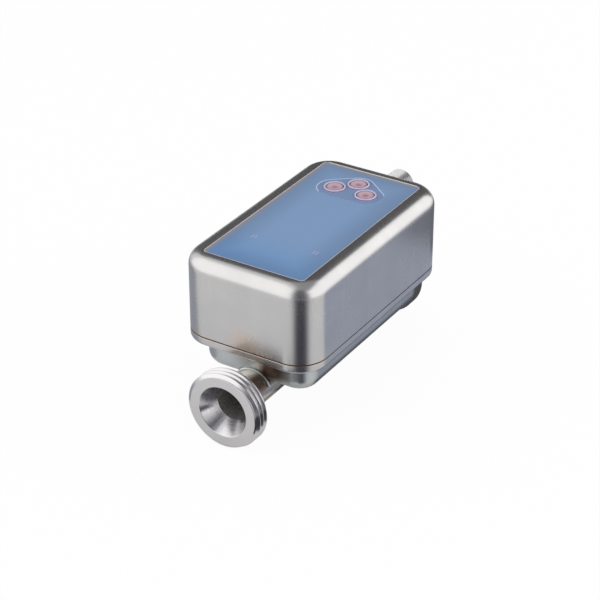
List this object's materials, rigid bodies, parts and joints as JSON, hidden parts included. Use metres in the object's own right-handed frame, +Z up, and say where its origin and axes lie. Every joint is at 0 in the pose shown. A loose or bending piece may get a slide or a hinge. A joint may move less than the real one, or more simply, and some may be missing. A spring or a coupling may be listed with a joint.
{
  "type": "ultrasonic flow sensor",
  "caption": "In-line ultrasonic flow sensor: straight tube with threaded pipe heads under a rounded stainless housing with a blue window, press keys and a round plug connector.",
  "frame": {"origin": "on the measuring tube's axis, midway between the inlet and outlet faces", "axes": "+X along the tube from inlet to outlet, +Z up to the window"},
  "size_m": [0.1402, 0.0612, 0.0717],
  "materials": {
    "housing_steel": "satin drawn stainless sheet",
    "turned_steel": "fine turned stainless",
    "connector_steel": "bright threaded stainless",
    "window_blue": "glossy milky blue window",
    "black_rubber": "matt",
    "key_pink": "satin moulded",
    "bezel_white": "glossy pale ring",
    "dark_plastic": "matt moulded",
    "black_plastic": "matt moulded",
    "display_dark": "glossy panel",
    "board_green": "solder mask",
    "pillar_brass": "turned hexagon bar",
    "wedge_amber": "machined plastic",
    "piezo_ceramic": "silvered ceramic",
    "contact_gold": "gold plated"
  },
  "bodies": {
    "sensor": {"upper_housing": "housing_steel", "lower_pan": "housing_steel", "tube_tray": "housing_steel", "measuring_tube": "turned_steel", "inlet_fitting": "turned_steel", "outlet_fitting": "turned_steel", "front_window": "window_blue", "window_seal": "black_rubber", "carrier_frame": "dark_plastic", "display_module": "display_dark", "main_board": "board_green", "power_board": "board_green", "board_header": "black_plastic", "lower_pillars": "pillar_brass", "middle_pillars": "pillar_brass", "top_pillars": "pillar_brass", "stack_screws": "turned_steel", "connector_shell": "connector_steel", "connector_seal": "black_rubber", "connector_nut": "connector_steel", "connector_insert": "black_plastic", "connector_pins": "contact_gold", "key_bezel_left": "bezel_white", "key_switch_left": "black_plastic", "key_bezel_right": "bezel_white", "key_switch_right": "black_plastic", "key_bezel_top": "bezel_white", "key_switch_top": "black_plastic", "wedge_upstream": "wedge_amber", "piezo_upstream": "piezo_ceramic", "clamp_upstream": "housing_steel", "wedge_downstream": "wedge_amber", "piezo_downstream": "piezo_ceramic", "clamp_downstream": "housing_steel"},
    "left_key": {"key_left": "key_pink"},
    "right_key": {"key_right": "key_pink"},
    "top_key": {"key_top": "key_pink"}
  },
  "joints": [
    {"name": "left_key_press", "type": "slide", "parent": "sensor", "child": "left_key", "axis": [0, 0, -1], "range_m": [0, 0.0005], "stiffness_N_per_m": 2000, "springref_m": -0.0005},
    {"name": "right_key_press", "type": "slide", "parent": "sensor", "child": "right_key", "axis": [0, 0, -1], "range_m": [0, 0.0005], "stiffness_N_per_m": 2000, "springref_m": -0.0005},
    {"name": "top_key_press", "type": "slide", "parent": "sensor", "child": "top_key", "axis": [0, 0, -1], "range_m": [0, 0.0005], "stiffness_N_per_m": 2000, "springref_m": -0.0005}
  ]
}
